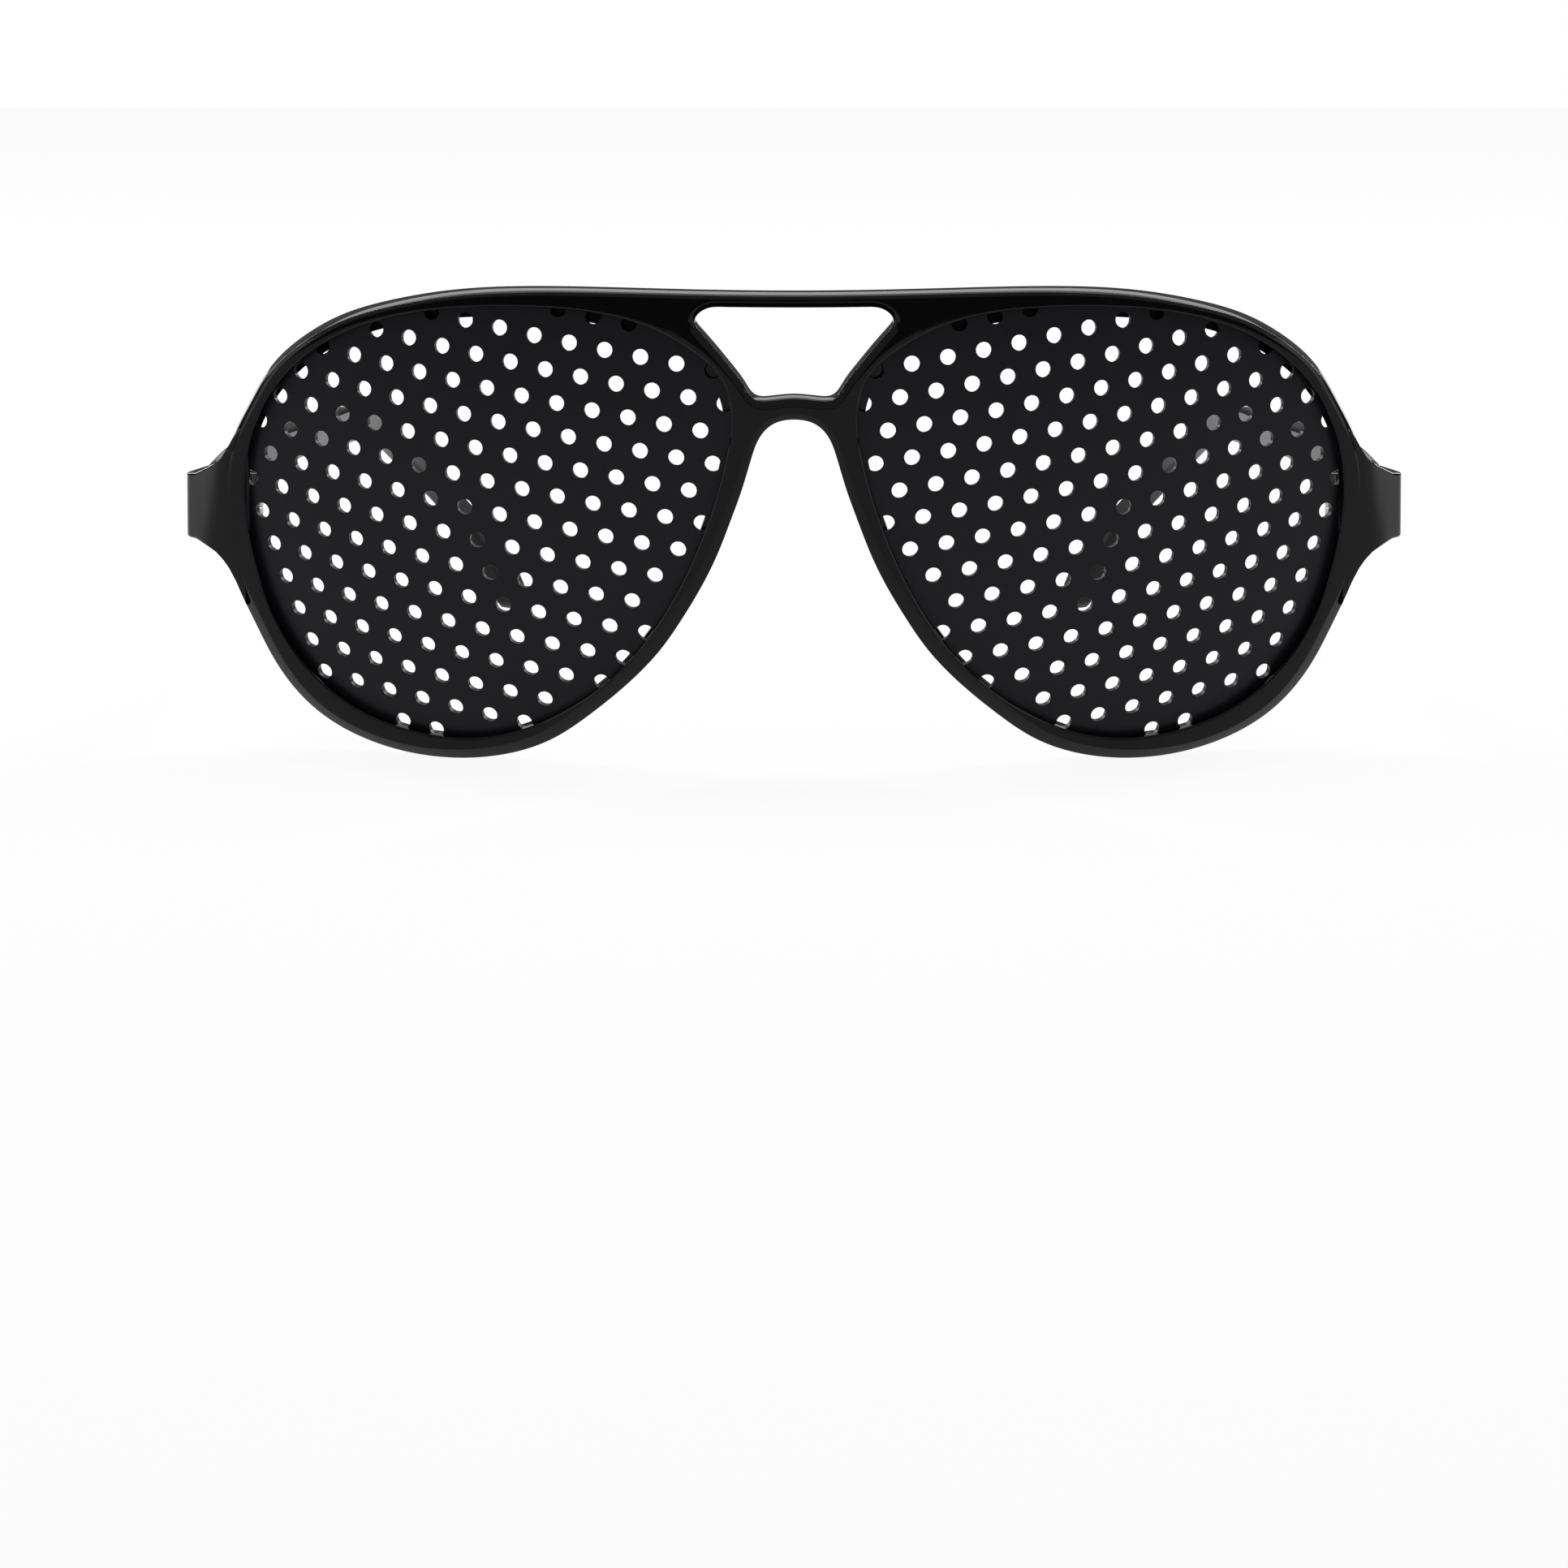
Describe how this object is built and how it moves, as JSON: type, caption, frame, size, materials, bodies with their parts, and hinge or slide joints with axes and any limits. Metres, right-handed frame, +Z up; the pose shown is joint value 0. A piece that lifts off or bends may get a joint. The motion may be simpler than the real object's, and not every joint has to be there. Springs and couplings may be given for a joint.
{
  "type": "pinhole glasses",
  "caption": "Glasses with perforated plates in place of lenses, so the eyes see through pinholes; moulded front with a brow bar, riveted hinges and folding temples.",
  "frame": {"origin": "middle of the floor area under the glasses, standing on the rims' bottoms and the temples' tips", "axes": "+X to the wearer's left, +Y back along the temples, +Z up"},
  "size_m": [0.1468, 0.1538, 0.058],
  "materials": {
    "frame_plastic": "glossy",
    "plate_plastic": "satin",
    "hinge_metal": "satin",
    "screw_steel": "polished"
  },
  "bodies": {
    "front": {"front_frame": "frame_plastic", "left_plate": "plate_plastic", "right_plate": "plate_plastic", "left_front_hinge": "hinge_metal", "right_front_hinge": "hinge_metal", "left_hinge_screw": "screw_steel", "right_hinge_screw": "screw_steel", "left_front_hinge_rivets": "screw_steel", "right_front_hinge_rivets": "screw_steel"},
    "left_arm": {"left_temple": "frame_plastic", "left_temple_hinge": "hinge_metal", "left_temple_hinge_rivets": "screw_steel"},
    "right_arm": {"right_temple": "frame_plastic", "right_temple_hinge": "hinge_metal", "right_temple_hinge_rivets": "screw_steel"}
  },
  "joints": [
    {"name": "left_temple_fold", "type": "hinge", "parent": "front", "child": "left_arm", "pos_m": [0.0662, -0.04058, 0.02958], "axis": [0, 0, 1], "range_deg": [0, 78]},
    {"name": "right_temple_fold", "type": "hinge", "parent": "front", "child": "right_arm", "pos_m": [-0.0662, -0.04058, 0.02958], "axis": [0, 0, -1], "range_deg": [0, 70]}
  ]
}
